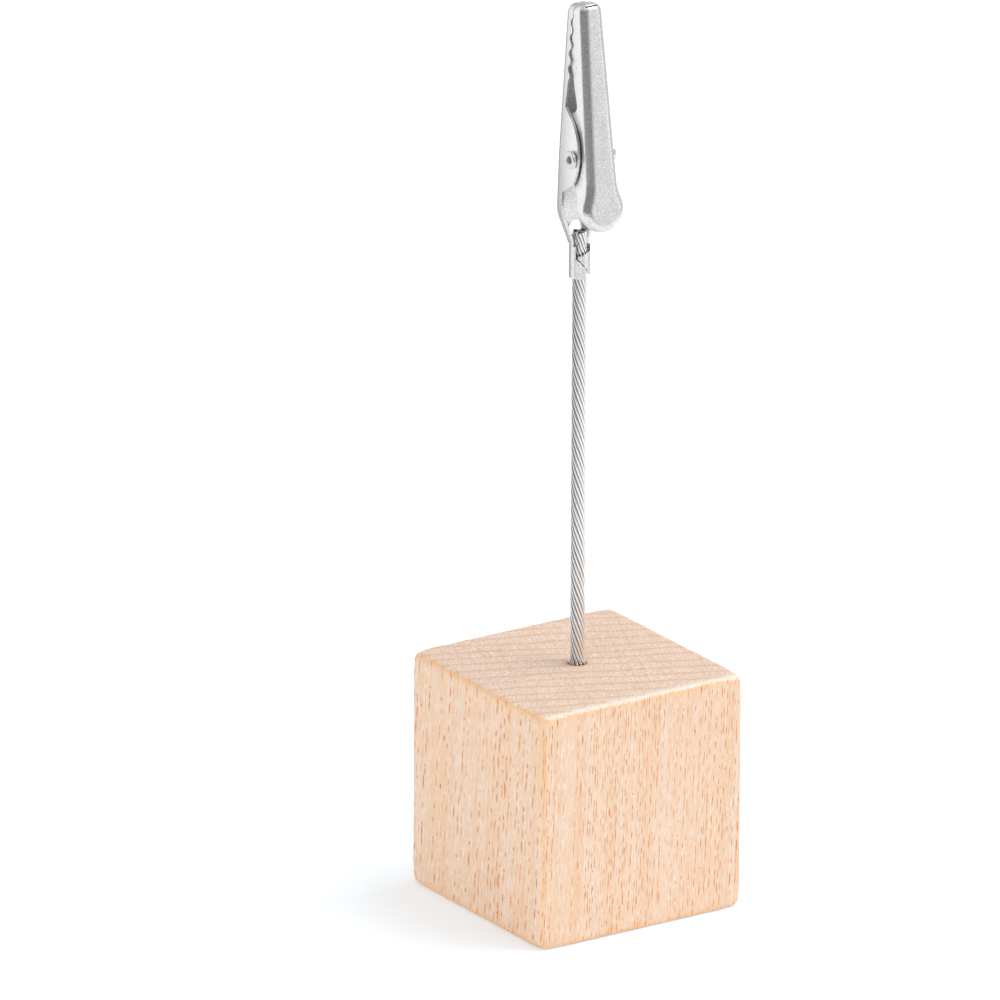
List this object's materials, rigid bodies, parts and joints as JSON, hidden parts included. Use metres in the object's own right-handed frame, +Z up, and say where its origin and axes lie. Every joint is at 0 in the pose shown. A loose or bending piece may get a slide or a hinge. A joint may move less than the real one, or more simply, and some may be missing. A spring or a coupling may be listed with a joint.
{
  "type": "photo clip stand",
  "caption": "Cube of beech with a stem of stranded steel wire rope that carries a sprung alligator clip, to hold a photo, place card or price tag upright on a table.",
  "frame": {"origin": "centre of the block's underside, on the surface that it stands on", "axes": "+Z up along the stem, +X along the clip's pivot, -Y is the side that the moving jaw opens towards"},
  "size_m": [0.04, 0.04, 0.1583],
  "materials": {
    "beech": "sanded and clear waxed",
    "glue": "cured, amber",
    "rope_steel": "drawn, bright",
    "nickel_plate": "satin nickel plate",
    "rivet_steel": "bright nickel",
    "spring_steel": "drawn"
  },
  "bodies": {
    "stand": {"wood_block": "beech", "glue": "glue", "wire_rope": "rope_steel", "fixed_jaw": "nickel_plate", "pivot_rivet": "rivet_steel", "torsion_spring": "spring_steel"},
    "jaw": {"moving_jaw": "nickel_plate"}
  },
  "joints": [
    {"name": "jaw_hinge", "type": "hinge", "parent": "stand", "child": "jaw", "pos_m": [0, -0.003, 0.1318], "axis": [1, 0, 0], "range_deg": [0, 22], "stiffness_Nm_per_rad": 0.01, "springref_deg": -34.38, "deforming": ["torsion_spring"]}
  ]
}
